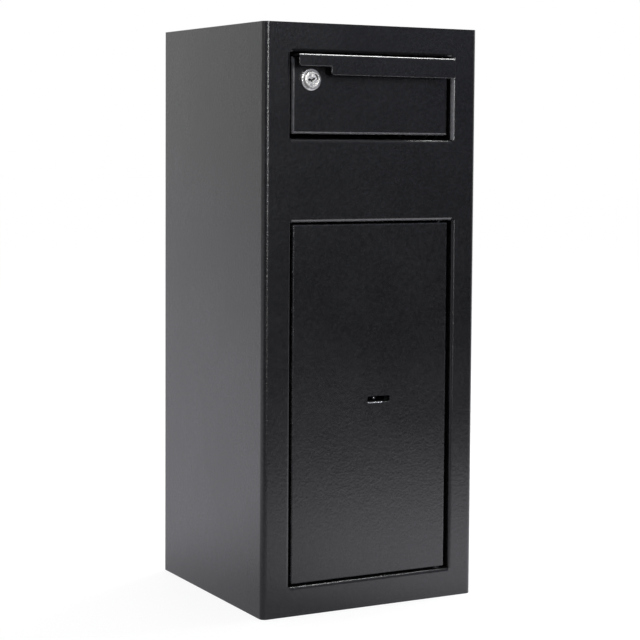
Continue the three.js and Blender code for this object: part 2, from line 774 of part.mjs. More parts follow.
function doorPlate() {
  const { left, right, bottom, top, front, edge, corner } = DOOR;
  const shape = roundedRectangle([left, right], [bottom, top], corner);
  const back = front + DOOR.plate;
  const plate = extruded("y", shape, [front, back], { rim: edge, rimSteps: 3, curveSegments: 3 });
  return cutBy(plate, [keyholeCut([front - 1, back + 1])]);
}

function coverScrewPlaces() {
  const inset = COVER.screwInset;
  const places = [];
  for (const z of [CASING.bottom + inset, CASING.top - inset]) {
    for (const x of [CASING.left + inset, CASING.right - inset]) places.push([x, z]);
  }
  return places;
}

function boltHeights() {
  return [KEYHOLE.z - BOLT.spacing, KEYHOLE.z + BOLT.spacing];
}

// A box welded to the back of the door plate, with a lip that the cover screws to
function doorCasing() {
  const { left, right, bottom, top, back, wall, lip } = CASING;
  const front = DOOR.front + DOOR.plate;
  const shell = block([left, right], [front, back], [bottom, top]);
  const inside = block(
    [left + wall, right - wall],
    [front - 1, back - wall],
    [bottom + wall, top - wall],
  );
  const mouth = block([left + lip, right - lip], [back - wall - 1, back + 1], [bottom + lip, top - lip]);
  const boltHoles = boltHeights().map((z) =>
    rod("x", [BOLT.depth, z], BOLT.radius + RUNNING, [left - 1, left + wall + 1]),
  );
  const screwHoles = screwHolesAt(coverScrewPlaces(), [back - 2 * wall, back + 1]);
  return cutBy(shell, [inside, mouth, ...boltHoles, ...screwHoles]);
}

function screwHolesAt(places, span) {
  return places.map((at) => rod("y", at, SCREW.hole, span, SMALL_ROUND));
}

function lockCover() {
  const { left, right, bottom, top, back, wall } = CASING;
  const face = back + COVER.sheet;
  const shape = roundedRectangle([left, right], [bottom, top], COVER.corner);
  const holes = screwHolesAt(coverScrewPlaces(), [back - 1, face + 1]);
  addPiece("lock_cover", "powder", cutBy(extruded("y", shape, [back, face]), holes));
  coverScrewPlaces().forEach((at, i) => {
    addPiece(`cover_screw_${i + 1}`, "zinc", panScrew(at, [back - 2 * wall, face]));
  });
}

// A cross-recessed screw whose head stands on the last plane of its span
function panScrew([x, z], [tip, face]) {
  const { shank, head, headTop, headHeight, slotLength, slotHalf, slotDepth } = SCREW;
  const top = face + headHeight;
  const body = joined([
    rod("y", [x, z], shank, [tip, face + headHeight / 4], SMALL_ROUND),
    rod("y", [x, z], head, [face, top], 16, headTop),
  ]);
  const recess = [top - slotDepth, top + 1];
  return cutBy(body, [
    block([x - slotLength, x + slotLength], recess, [z - slotHalf, z + slotHalf]),
    block([x - slotHalf, x + slotHalf], recess, [z - slotLength, z + slotLength]),
  ]);
}

// Pins stand out of blocks behind the door's right edge, into the case's bushes
function doorHinge() {
  const at = [HINGE.x, HINGE.depth];
  const { height, thickness, beyondPin, gapToCasing, belowTop } = HINGE_BLOCK;
  const behind = DOOR.front + DOOR.plate;
  const across = [CASING.right + gapToCasing, HINGE.x + beyondPin];
  const through = [behind, behind + thickness];
  const seat = rod("z", at, HINGE.pin + RUNNING / 2, [0, CASE.height]);
  const high = DOOR.top - belowTop;
  const low = DOOR.bottom;
  const ends = {
    upper: [[high - height, high], [high - HINGE.pinSunk, DOOR_OPENING.top + HINGE.pinReach]],
    lower: [[low, low + height], [DOOR_OPENING.bottom - HINGE.pinReach, low + HINGE.pinSunk]],
  };
  for (const [name, [blockSpan, pinSpan]] of Object.entries(ends)) {
    addPiece(`hinge_block_${name}`, "powder", cutBy(block(across, through, blockSpan), [seat]));
    addPiece(`hinge_pin_${name}`, "steel", rod("z", at, HINGE.pin, pinSpan));
  }
}

function lockScrewPlaces() {
  const { inset } = LOCK_FOOT;
  const places = [];
  for (const z of [LOCK.bottom + inset, LOCK.top - inset]) {
    for (const x of [LOCK.left + inset, LOCK.right - inset]) places.push([x, z]);
  }
  return places;
}

// Lock case with its key channel, on four feet behind the door plate
function doorLock() {
  const behind = DOOR.front + DOOR.plate;
  const places = lockScrewPlaces();
  const shape = roundedRectangle([LOCK.left, LOCK.right], [LOCK.bottom, LOCK.top], LOCK_FOOT.corner);
  const body = extruded("y", shape, [LOCK.front, LOCK.back]);
  const footSpan = [behind, LOCK.front + 1];
  const feet = places.map((at) => rod("y", at, LOCK_FOOT.radius, footSpan, SMALL_ROUND));
  const screwHoles = screwHolesAt(places, [behind - 1, LOCK.back + 1]);
  const keyPath = keyholeCut([LOCK.front - 1, LOCK.back - LOCK.rearWall]);
  const pinSpan = [LOCK.front, LOCK.back + 1];
  const pinSeat = rod("y", [KEYHOLE.x, KEYHOLE.z], KEY_PIN.radius + RUNNING, pinSpan, SMALL_ROUND);
  const lockCase = cutBy(joined([body, ...feet]), [...screwHoles, keyPath, pinSeat, tailPocket()]);
  addPiece("lock_case", "zinc", lockCase);
  const sleeve = keyholeCut([behind, LOCK.front], KEYHOLE.sleeve);
  addPiece("key_guide", "zinc", cutBy(sleeve, [keyholeCut([DOOR.front, LOCK.back])]));
  addPiece("key_pin", "steel", keyPin());
  places.forEach((at, i) => {
    addPiece(`lock_screw_${i + 1}`, "steel", panScrew(at, [behind, LOCK.back]));
  });
}

// The post that a hollow key slides over, with a tapered nose
function keyPin() {
  const at = [KEYHOLE.x, KEYHOLE.z];
  const { radius, tip, nose, taper } = KEY_PIN;
  return joined([
    rod("y", at, nose, [tip, tip + taper], SMALL_ROUND, radius),
    rod("y", at, radius, [tip + taper, LOCK.back], SMALL_ROUND),
  ]);
}

// Two round bolts on one upright bar, which the lock's own bolt pushes to the left
function boltWork() {
  const barLeft = BOLT.tip + BOLT.length;
  const barRight = barLeft + BOLT_BAR.sheet;
  addPiece("bolt_bar", "zinc", boltBar(barLeft, barRight));
  ["lower", "upper"].forEach((name, i) => {
    const z = boltHeights()[i];
    const at = [BOLT.depth, z];
    const nose = BOLT.tip + 1;
    const bolt = joined([
      rod("x", at, BOLT.radius - 1, [BOLT.tip, nose], ROUND, BOLT.radius),
      rod("x", at, BOLT.radius, [nose, barLeft]),
      rod("x", at, BOLT.spigot, [barLeft - 1, barRight + 1]),
    ]);
    addPiece(`bolt_${name}`, "steel", bolt);
    const stud = joined([
      rod("y", [STUD.x, z], STUD.radius, [DOOR.front + DOOR.plate, STUD.headBack - 1]),
      rod("y", [STUD.x, z], STUD.head, [STUD.headFront, STUD.headBack]),
    ]);
    addPiece(`bar_stud_${name}`, "steel", stud);
  });
  const { front, back, bottom, top, neck, shoulder } = LOCK_TAIL;
  const tail = joined([
    block([barRight, LOCK_TAIL.right], [front, back], [bottom, top]),
    block(
      [barLeft - 1, barRight + 1],
      [front + shoulder, back - shoulder],
      [bottom + neck, top - neck],
    ),
  ]);
  addPiece("lock_bolt", "steel", tail);
}

// The bar has a hole for each bolt's spigot, one for the lock's bolt and a slotted tab
// beside each round bolt
function boltBar(barLeft, barRight) {
  const { sheet, front, back, beyondBolt, tabRight, tabHalf } = BOLT_BAR;
  const heights = boltHeights();
  const ends = [heights[0] - beyondBolt, heights[1] + beyondBolt];
  const web = block([barLeft, barRight], [front, back], ends);
  const tabs = heights.map((z) =>
    block([barLeft, tabRight], [front, front + sheet], [z - tabHalf, z + tabHalf]),
  );
  const through = [barLeft - 1, barRight + 1];
  const spigots = heights.map((z) => rod("x", [BOLT.depth, z], BOLT.spigot + RUNNING, through));
  const { neck, shoulder, play } = LOCK_TAIL;
  const depths = [LOCK_TAIL.front + shoulder - play / 2, LOCK_TAIL.back - shoulder + play / 2];
  const tie = block(through, depths, [LOCK_TAIL.bottom + neck - play, LOCK_TAIL.top - neck + play]);
  return cutBy(joined([web, ...tabs]), [...spigots, tie, ...heights.map(tabSlot)]);
}

// A slot in the bar's tab runs on a fixed stud, and is as long as the bolt's throw
function tabSlot(z) {
  const radius = STUD.radius + STUD.slack;
  const span = [STUD.x - radius, STUD.x + BOLT.throw + radius];
  const shape = roundedRectangle(span, [z - radius, z + radius], radius);
  return extruded("y", shape, [BOLT_BAR.front - 1, BOLT_BAR.front + BOLT_BAR.sheet + 1]);
}

// The slot in the lock case that its own bolt slides in
function tailPocket() {
  const { front, back, bottom, top, play, pocketRight } = LOCK_TAIL;
  return block([LOCK.left - 1, pocketRight], [front - play, back + play], [bottom - play, top + play]);
}

addPiece("case_shell", "powder", caseShell());
casePanels();
anchorPlugs();
floorMat();
hingeBushes();
fishingBaffle();
addPiece("drawer_front", "powder", drawerFront());
addPiece("pull_lip", "powder", pullLip());
addPiece("drawer_tray", "zinc", trayWrap());
addPiece("drawer_inner_front", "zinc", innerFront());
for (const [name, way] of [["left", -1], ["right", 1]]) {
  addPiece(`guide_plate_${name}`, "zinc", guidePlate(way));
  addPiece(`outer_rail_${name}`, "zinc", outerRail(way));
  addPiece(`inner_rail_${name}`, "zinc", innerRail(way));
  addPiece(`ball_cage_${name}`, "steel", ballCage(way));
}
trapFlap();
camLock();
addPiece("door_plate", "powder", doorPlate());
addPiece("door_casing", "powder", doorCasing());
lockCover();
doorHinge();
doorLock();
boltWork();

export default safe;
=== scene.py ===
import json
import math

import bmesh
import bpy
from mathutils import Matrix, Vector
from mathutils.geometry import tessellate_polygon


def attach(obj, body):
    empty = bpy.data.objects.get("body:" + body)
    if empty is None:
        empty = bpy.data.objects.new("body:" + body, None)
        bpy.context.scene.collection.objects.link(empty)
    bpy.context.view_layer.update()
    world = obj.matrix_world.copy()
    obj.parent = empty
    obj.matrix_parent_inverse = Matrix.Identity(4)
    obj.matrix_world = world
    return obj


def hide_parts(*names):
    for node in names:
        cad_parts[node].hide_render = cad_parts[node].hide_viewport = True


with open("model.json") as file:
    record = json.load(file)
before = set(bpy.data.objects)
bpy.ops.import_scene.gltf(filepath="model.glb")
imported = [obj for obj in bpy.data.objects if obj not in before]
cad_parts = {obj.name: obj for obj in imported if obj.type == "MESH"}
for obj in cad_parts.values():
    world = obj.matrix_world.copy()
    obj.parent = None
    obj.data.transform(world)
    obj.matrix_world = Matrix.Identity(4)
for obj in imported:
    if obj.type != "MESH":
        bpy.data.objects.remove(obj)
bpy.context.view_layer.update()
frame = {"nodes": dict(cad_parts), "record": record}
scene = bpy.context.scene
bodies = frame["record"]["behaviour"]["bodies"]
body_of_node = {node: body for body, nodes in bodies.items() for node in nodes}

# Found from the safe's own straight edges in the photograph: metres, radians and mm of focal length
CAMERA_PLACE = Vector((-0.919236, -1.777426, 0.482509))
CAMERA_YAW = 0.520412
CAMERA_PITCH = 0.06676
CAMERA_ROLL = 0.009164
CAMERA_LENS = 103.805
CAMERA_SHIFT = (-0.1185, -0.08634)
CAMERA_SENSOR = 36
CAMERA_CLIP = (0.05, 60)


def make_camera():
    camera = bpy.data.cameras.new("camera")
    camera.sensor_width = CAMERA_SENSOR
    camera.lens = CAMERA_LENS
    camera.shift_x, camera.shift_y = CAMERA_SHIFT
    camera.clip_start, camera.clip_end = CAMERA_CLIP
    ahead = Vector((math.sin(CAMERA_YAW), math.cos(CAMERA_YAW), 0))
    forward = math.cos(CAMERA_PITCH) * ahead + Vector((0, 0, -math.sin(CAMERA_PITCH)))
    level = Vector((math.cos(CAMERA_YAW), -math.sin(CAMERA_YAW), 0))
    above = level.cross(forward)
    right = math.cos(CAMERA_ROLL) * level + math.sin(CAMERA_ROLL) * above
    up = -math.sin(CAMERA_ROLL) * level + math.cos(CAMERA_ROLL) * above
    holder = bpy.data.objects.new("camera", camera)
    scene.collection.objects.link(holder)
    turn = Matrix((right, up, -forward)).transposed().to_4x4()
    holder.matrix_world = Matrix.Translation(CAMERA_PLACE) @ turn
    scene.camera = holder


make_camera()
scene.view_settings.view_transform = "Standard"


# Materials


class Nodes:
    """A short way to write a node tree."""

    def __init__(self, name):
        self.material = bpy.data.materials.new(name)
        self.material.use_nodes = True
        self.tree = self.material.node_tree
        self.shader = self.tree.nodes["Principled BSDF"]
        coordinates = self.tree.nodes.new("ShaderNodeTexCoord")
        self.place = coordinates.outputs["Object"]

    def add(self, kind, inputs=None, **settings):
        node = self.tree.nodes.new("ShaderNode" + kind)
        for key, value in settings.items():
            setattr(node, key, value)
        for key, value in (inputs or {}).items():
            self.set(node.inputs[key], value)
        return node

    def set(self, socket, value):
        if isinstance(value, bpy.types.NodeSocket):
            self.tree.links.new(value, socket)
        else:
            socket.default_value = value

    def attribute(self, name):
        return self.add("Attribute", attribute_name=name).outputs["Fac"]

    def noise(self, scale, detail=2.0, roughness=0.5, vector=None):
        inputs = {"Vector": vector or self.place, "Scale": scale, "Detail": detail, "Roughness": roughness}
        return self.add("TexNoise", inputs).outputs["Fac"]

    def stretched(self, scale):
        node = self.add("Mapping", {"Vector": self.place, "Scale": scale})
        return node.outputs["Vector"]

    def spread(self, value, low, high, to_low=0.0, to_high=1.0, kind="LINEAR"):
        """Maps value from low..high to to_low..to_high, clamped."""
        inputs = {"Value": value, "From Min": low, "From Max": high, "To Min": to_low, "To Max": to_high}
        return self.add("MapRange", inputs, interpolation_type=kind).outputs["Result"]

    def maths(self, operation, a, b):
        return self.add("Math", {0: a, 1: b}, operation=operation).outputs[0]

    def blend(self, factor, a, b):
        node = self.add("Mix", data_type="RGBA")
        self.set(node.inputs["Factor"], factor)
        self.set(node.inputs["A"], a)
        self.set(node.inputs["B"], b)
        return node.outputs["Result"]

    def bump(self, height, strength, distance, below=None):
        inputs = {"Height": height, "Strength": strength, "Distance": distance}
        if below is not None:
            inputs["Normal"] = below
        return self.add("Bump", inputs).outputs["Normal"]


def colour(red, green, blue):
    return (red, green, blue, 1.0)


def grey(level):
    return colour(level, level, level)


def shaded(base, factor, lift=0.0):
    """The colour base made darker or lighter by a factor and a lift."""
    return colour(*[min(1, channel * factor + lift) for channel in base])


PAINT = (0.0054, 0.0055, 0.0070)
PAINT_DUST = colour(0.035, 0.036, 0.039)
# Lighter colour of the bevelled edges: partly rubbed paint, partly a painted highlight
PAINT_EDGE_RUB_AND_HIGHLIGHT = colour(0.05, 0.051, 0.054)
# Grey of the painted highlight on chosen folds
PAINT_HIGHLIGHT = colour(0.150, 0.150, 0.158)
STEEL_UNDER_PAINT = colour(0.62, 0.63, 0.64)
PEEL_STRENGTH = 0.125
GRAIN_STRENGTH = 0.28


def powder_coat(name):
    """Near-black satin powder coat: orange peel, faint blotches, dust, edges lightened partly by rubbing
    and partly as a painted highlight, painted highlights on chosen folds, and bare edges.
    """
    n = Nodes(name)
    cells = {"Vector": n.place, "Scale": 400.0, "Smoothness": 0.5}
    pebbles = n.add("TexVoronoi", cells, feature="SMOOTH_F1").outputs["Distance"]
    swell = n.noise(210.0, 2.0, 0.55)
    grain = n.noise(2400.0, 2.0, 0.6)
    blotch = n.noise(9.0, 3.0, 0.55)
    # Bevelled edges are lightened and made smoother, partly as rubbed paint and partly as a painted
    # highlight
    edge_rub_and_highlight = n.maths("MULTIPLY", n.attribute("edge"), n.spread(n.noise(150.0, 4.0, 0.65), 0.42, 0.62))
    base = n.blend(n.spread(blotch, 0.35, 0.65), shaded(PAINT, 0.86), shaded(PAINT, 1.12))
    mottle = n.spread(n.noise(330.0, 4.0, 0.7), 0.36, 0.64)
    base = n.blend(mottle, n.blend(0.8, base, grey(0.0)), n.blend(0.003, base, grey(1.0)))
    speck = n.spread(n.noise(1500.0, 1.0), 0.70, 0.78)
    base = n.blend(n.maths("MULTIPLY", speck, 0.35), base, PAINT_DUST)
    base = n.blend(n.maths("MULTIPLY", edge_rub_and_highlight, 0.5), base, PAINT_EDGE_RUB_AND_HIGHLIGHT)
    # Painted highlight: the chosen folds are lightened towards grey, broken up by noise
    patchy = n.spread(n.noise(330.0, 3.0, 0.6), 0.3, 0.6, 0.55, 1.0)
    base = n.blend(n.maths("MULTIPLY", n.attribute("worn"), patchy), base, PAINT_HIGHLIGHT)
    bare = n.attribute("bare")
    n.set(n.shader.inputs["Base Color"], n.blend(bare, base, STEEL_UNDER_PAINT))
    n.set(n.shader.inputs["Metallic"], bare)
    rough = n.maths("ADD", n.spread(blotch, 0.3, 0.7, 0.26, 0.31), n.spread(grain, 0.3, 0.7, -0.03, 0.03))
    rough = n.maths("SUBTRACT", rough, n.maths("MULTIPLY", edge_rub_and_highlight, 0.1))
    n.set(n.shader.inputs["Roughness"], rough)
    n.shader.inputs["IOR"].default_value = 1.55
    high = n.maths("ADD", n.maths("MULTIPLY", pebbles, 0.8), n.maths("MULTIPLY", swell, 0.7))
    coarse = n.bump(high, PEEL_STRENGTH, 0.0009)
    n.set(n.shader.inputs["Normal"], n.bump(grain, GRAIN_STRENGTH, 0.0002, coarse))
    return n.material


def plated(name, base, rough, streak=(900.0, 900.0, 60.0), wear=0.5):
    """Zinc plate or bare steel: rolled streaks, faint spangle, dull patches and bright rubbed edges."""
    n = Nodes(name)
    lines = n.noise(1.0, 3.0, 0.6, n.stretched(streak))
    patch = n.noise(28.0, 4.0, 0.6)
    fleck = n.add("TexVoronoi", {"Vector": n.place, "Scale": 230.0}, feature="F1").outputs["Color"]
    fleck = n.add("SeparateColor", {"Color": fleck}).outputs["Red"]
    shade = n.blend(n.spread(patch, 0.3, 0.7), shaded(base, 0.82), colour(*base))
    shade = n.blend(n.maths("MULTIPLY", fleck, 0.16), shade, shaded(base, 1.2))
    shade = n.blend(n.maths("MULTIPLY", n.attribute("edge"), wear), shade, colour(0.8, 0.8, 0.79))
    n.set(n.shader.inputs["Base Color"], shade)
    n.shader.inputs["Metallic"].default_value = 1.0
    dull = n.spread(patch, 0.3, 0.7, rough - 0.05, rough + 0.07)
    n.set(n.shader.inputs["Roughness"], n.maths("ADD", dull, n.spread(lines, 0.3, 0.7, -0.05, 0.05)))
    n.set(n.shader.inputs["Normal"], n.bump(lines, 0.12, 0.0002, n.bump(patch, 0.05, 0.001)))
    return n.material


def chrome(name, rough, dimple):
    """Chrome over a cast face: soft dimples, hairline scratches, and painted shade that turns the marked
    faces in its grooves and recesses near-black.
    """
    n = Nodes(name)
    dimples = n.noise(460.0, 2.0, 0.5)
    haze = n.noise(160.0, 3.0, 0.6)
    hairs = n.noise(1.0, 2.0, 0.5, n.stretched((300.0, 300.0, 6000.0)))
    # Faces marked with painted shade turn near-black, less metallic and rougher
    grime = n.attribute("grime")
    shade = n.blend(n.spread(haze, 0.4, 0.7), colour(0.96, 0.95, 0.91), colour(0.87, 0.86, 0.83))
    shade = n.blend(n.spread(dimples, 0.35, 0.65), n.blend(0.12, shade, grey(0.4)), shade)
    n.set(n.shader.inputs["Base Color"], n.blend(grime, shade, grey(0.012)))
    n.set(n.shader.inputs["Metallic"], n.maths("SUBTRACT", 1.0, n.maths("MULTIPLY", grime, 0.9)))
    cloudy = n.spread(haze, 0.35, 0.7, rough, rough + 0.08)
    cloudy = n.maths("ADD", cloudy, n.spread(hairs, 0.6, 0.8, 0.0, 0.06))
    n.set(n.shader.inputs["Roughness"], n.maths("ADD", cloudy, n.maths("MULTIPLY", grime, 0.3)))
    n.set(n.shader.inputs["Normal"], n.bump(dimples, dimple, 0.0007))
    return n.material


def moulded(name, base, rough, grain_scale=900.0, strength=0.2):
    """Rubber or nylon: fine moulded grain, with dust and scuffs that show on the dark one."""
    n = Nodes(name)
    grain = n.noise(grain_scale, 3.0, 0.6)
    patch = n.noise(45.0, 4.0, 0.6)
    shade = n.blend(n.spread(patch, 0.35, 0.7), shaded(base, 0.8), shaded(base, 1.15, 0.004))
    n.set(n.shader.inputs["Base Color"], shade)
    n.set(n.shader.inputs["Roughness"], n.spread(patch, 0.3, 0.7, rough - 0.08, rough + 0.06))
    n.set(n.shader.inputs["Normal"], n.bump(grain, strength, 0.0003))
    return n.material


FINISH = {
    "powder": powder_coat("powder"),
    "zinc": plated("zinc", (0.62, 0.63, 0.64), 0.33),
    "steel": plated("steel", (0.52, 0.53, 0.54), 0.26, (60.0, 60.0, 1500.0), 0.3),
    "brass": plated("brass", (0.62, 0.46, 0.20), 0.28),
    # Near-black steel, used as painted shade on parts seen only through gaps
    "blackened": plated("blackened", (0.028, 0.028, 0.030), 0.42, wear=0.06),
    "chrome": chrome("chrome", 0.30, 0.9),
    "polished": chrome("polished", 0.22, 0.4),
    "rubber": moulded("rubber", (0.012, 0.012, 0.013), 0.72),
    "nylon": moulded("nylon", (0.72, 0.70, 0.64), 0.42, 1500.0, 0.08),
}


# Pieces


SHARP = 32.0
SHARP_TURNED = 40.0


def dress(node, shape, ending, finish, sharp=SHARP):
    """Puts a shape in place of its node, on the node's body, shaded round below the sharp angle."""
    name = node + ending
    mesh = bpy.data.meshes.new(name)
    shape.to_mesh(mesh)
    shape.free()
    mesh.polygons.foreach_set("use_smooth", [True] * len(mesh.polygons))
    mesh.set_sharp_from_angle(angle=math.radians(sharp))
    mesh.materials.clear()
    mesh.materials.append(FINISH[finish])
    piece = bpy.data.objects.new(name, mesh)
    scene.collection.objects.link(piece)
    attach(piece, body_of_node[node])
    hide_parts(node)
    # The corner normals turn towards the larger faces, so that only the small bends shade round
    weighing = piece.modifiers.new("weighted normals", "WEIGHTED_NORMAL")
    weighing.mode = "FACE_AREA"
    weighing.weight = 100
    weighing.keep_sharp = True


# Folds given a painted highlight, a lighter grey that stands in for the bright line each bend catches: the
# node, the box in mm that holds the fold (left, right, front, back, bottom, top), the least share of its
# normal in some directions, and how strong the painted highlight is
ANY = math.inf
HIGHLIGHT_FOLDS = [
    ("drawer_front", (-ANY, ANY, -ANY, ANY, -ANY, ANY), {"front": 0.15, "down": 0.2}, 0.75),
    ("drawer_front", (-ANY, ANY, -ANY, ANY, -ANY, ANY), {"front": 0.15, "left": 0.2}, 0.55),
    ("pull_lip", (-ANY, ANY, -ANY, -130, -ANY, ANY), {"down": 0.3}, 0.45),
    ("pull_lip", (-60, ANY, -ANY, -130, -ANY, ANY), {"left": 0.5}, 0.45),
    ("case_shell", (90, 100, -ANY, ANY, 484, 571), {"front": 0.15, "left": 0.2}, 0.8),
    ("case_shell", (-100, 100, -ANY, ANY, 398, 406), {"front": 0.15, "down": 0.2}, 0.3),
    ("case_shell", (55, 100, -ANY, ANY, 478, 486), {"front": 0.15, "up": 0.2}, 0.35),
]
DIRECTIONS = {
    "front": Vector((0, -1, 0)),
    "left": Vector((-1, 0, 0)),
    "down": Vector((0, 0, -1)),
    "up": Vector((0, 0, 1)),
}


def fold_highlight(node, centre, normal):
    """How strongly a face is lightened as a painted highlight, from 0 to 1."""
    x, y, z = centre * 1000
    for name, (left, right, front, back, bottom, top), ways, amount in HIGHLIGHT_FOLDS:
        inside = left < x < right and front < y < back and bottom < z < top
        if name == node and inside:
            if all(normal.dot(DIRECTIONS[way]) > least for way, least in ways.items()):
                return amount
    return 0.0


def soften(node, width, finish=None):
    """The node's own shape with its sharp sheet-metal edges eased by a small radius."""
    source = frame["nodes"][node]
    slot = source.material_slots[0].material.name.split(".")[0]
    shape = bmesh.new()
    shape.from_mesh(source.data)
    bmesh.ops.remove_doubles(shape, verts=shape.verts, dist=SAME_CORNER)
    flat = math.radians(SAME_PLANE)
    bmesh.ops.dissolve_limit(shape, angle_limit=flat, verts=shape.verts, edges=shape.edges)
    edge_layer = shape.faces.layers.float.new("edge")
    highlight_layer = shape.faces.layers.float.new("worn")
    sharp = math.radians(SHARP)
    edges = [e for e in shape.edges if e.is_manifold and e.calc_face_angle(0.0) > sharp]
    if edges:
        made = bmesh.ops.bevel(
            shape,
            geom=edges,
            offset=width,
            offset_type="OFFSET",
            segments=2,
            profile=0.5,
            affect="EDGES",
            clamp_overlap=True,
        )
        for face in made["faces"]:
            face[edge_layer] = 1.0
    shape.normal_update()
    # Each face gets the strength of its painted highlight from the folds listed above
    for face in shape.faces:
        face[highlight_layer] = fold_highlight(node, face.calc_center_median(), face.normal)
    dress(node, shape, "_dressed", finish or slot)


# In metres and degrees: what counts as one corner and one plane, then each edge's radius
SAME_CORNER = 2e-6
SAME_PLANE = 0.8
EASED_ELSEWHERE = 0.0002
EASED = {
    "case_shell": 0.0004,
    "top_panel": 0.0004,
    "bottom_panel": 0.0004,
    "back_panel": 0.0004,
    "drawer_front": 0.0006,
    "pull_lip": 0.0007,
    "door_casing": 0.0006,
    "lock_cover": 0.0004,
    "hinge_block_upper": 0.0006,
    "hinge_block_lower": 0.0006,
}
# Pins, bushes, washer and lock case given near-black steel as painted shade, standing in for the shade in
# the gaps round the door and inside the keyhole
SHADE_DARK_PARTS = [
    "hinge_pin_upper",
    "hinge_pin_lower",
    "hinge_bush_upper",
    "hinge_bush_lower",
    "hinge_washer",
    "lock_case",
]
SHAPED_HERE = ["cam_lock_barrel", "cam_lock_plug", "door_plate"]
for node_name in frame["nodes"]:
    if node_name not in SHAPED_HERE:
        black = "blackened" if node_name in SHADE_DARK_PARTS else None
        soften(node_name, EASED.get(node_name, EASED_ELSEWHERE), black)

# The cam lock, in mm: its axis, then (radius, depth behind the drawer's face) along each outline
LOCK_AXIS = (-70.25, 543.75)
FRONT = -125.0
DRAWER_FACE = 5.0
LATHE_SIDES = 96
FLANGE_OUTLINE = [
    (6.1, 9.75),
    (6.1, -2.8),
    (10.1, -2.8),
    (10.55, -2.68),
    (10.95, -2.35),
    (11.18, -1.9),
    (11.25, -1.4),
    (11.25, 0.0),
    (9.1, 0.0),
    (9.1, 1.7),
]
THREAD = {"from": 1.7, "to": 9.5, "pitch": 1.0, "crest": 9.5, "root": 9.1, "back": 9.75}
HEAD_OUTLINE = [
    (5.3, -4.85),
    (5.45, -4.3),
    (6.2, -4.3),
    (6.35, -5.0),
    (6.6, -5.36),
    (7.0, -5.5),
    (7.5, -5.5),
    (7.95, -5.37),
    (8.3, -5.05),
    (8.48, -4.5),
    (8.5, -4.0),
    (8.5, -2.95),
    (6.0, -2.95),
    (6.0, 10.0),
]
# The step round the sunken plug, and the angles in degrees where painted shade draws a dark arc on one
# side of it
HEAD_STEP = (0, 3)
HEAD_STEP_SHADE = (-5.0, 62.0)
# The disc's side wall at its base, painted as a dark shadow line
HEAD_FOOT = 10
KEYWAY_DEPTH = 5.0
KEYWAY = [
    (-4.6, -1.6),
    (-3.3, -2.1),
    (-2.4, -0.9),
    (-1.9, -2.4),
    (-0.6, -2.9),
    (0.9, -1.0),
    (2.8, 0.0),
    (3.2, 1.3),
    (1.4, 1.3),
    (-0.2, 0.3),
    (-1.3, -0.8),
    (-2.0, 0.6),
    (-3.6, 1.0),
    (-4.7, -0.2),
]
SQUARE_TAIL = {"half": 3.4, "from": 9.9, "to": 12.3}


def on_lock(across, up, depth):
    return Vector((LOCK_AXIS[0] + across, FRONT + DRAWER_FACE + depth, LOCK_AXIS[1] + up)) / 1000


def lathe(shape, outline, closed):
    """Turns the outline round the lock's axis; gives its rings of corners and its bands of faces."""
    rings = []
    for radius, depth in outline:
        ring = []
        for step in range(LATHE_SIDES):
            angle = 2 * math.pi * step / LATHE_SIDES
            place = on_lock(radius * math.cos(angle), radius * math.sin(angle), depth)
            ring.append(shape.verts.new(place))
        rings.append(ring)
    bands = []
    for near, far in zip(rings, rings[1:] + ([rings[0]] if closed else [])):
        band = []
        for step in range(LATHE_SIDES):
            after = (step + 1) % LATHE_SIDES
            band.append(shape.faces.new((near[step], near[after], far[after], far[step])))
        bands.append(band)
    return rings, bands


def fill_between(shape, outer, inner):
    """Faces across a flat side, from its outline to the outline of the hole in it."""
    loops = [[corner.co.xzy for corner in outer], [corner.co.xzy for corner in inner]]
    corners = outer + inner
    for triple in tessellate_polygon(loops):
        shape.faces.new([corners[i] for i in triple])


def lock_flange():
    """The fixed barrel: a domed flange on the drawer's face and a thread for the nut behind it."""
    outline = list(FLANGE_OUTLINE)
    depth = THREAD["from"]
    while depth + THREAD["pitch"] <= THREAD["to"]:
        outline.append((THREAD["crest"], depth + 0.4 * THREAD["pitch"]))
        outline.append((THREAD["crest"], depth + 0.6 * THREAD["pitch"]))
        outline.append((THREAD["root"], depth + THREAD["pitch"]))
        depth += THREAD["pitch"]
    outline.append((THREAD["root"], THREAD["back"]))
    shape = bmesh.new()
    shape.faces.layers.float.new("grime")
    lathe(shape, outline, True)
    bmesh.ops.recalc_face_normals(shape, faces=shape.faces)
    dress("cam_lock_barrel", shape, "_turned", "polished", SHARP_TURNED)


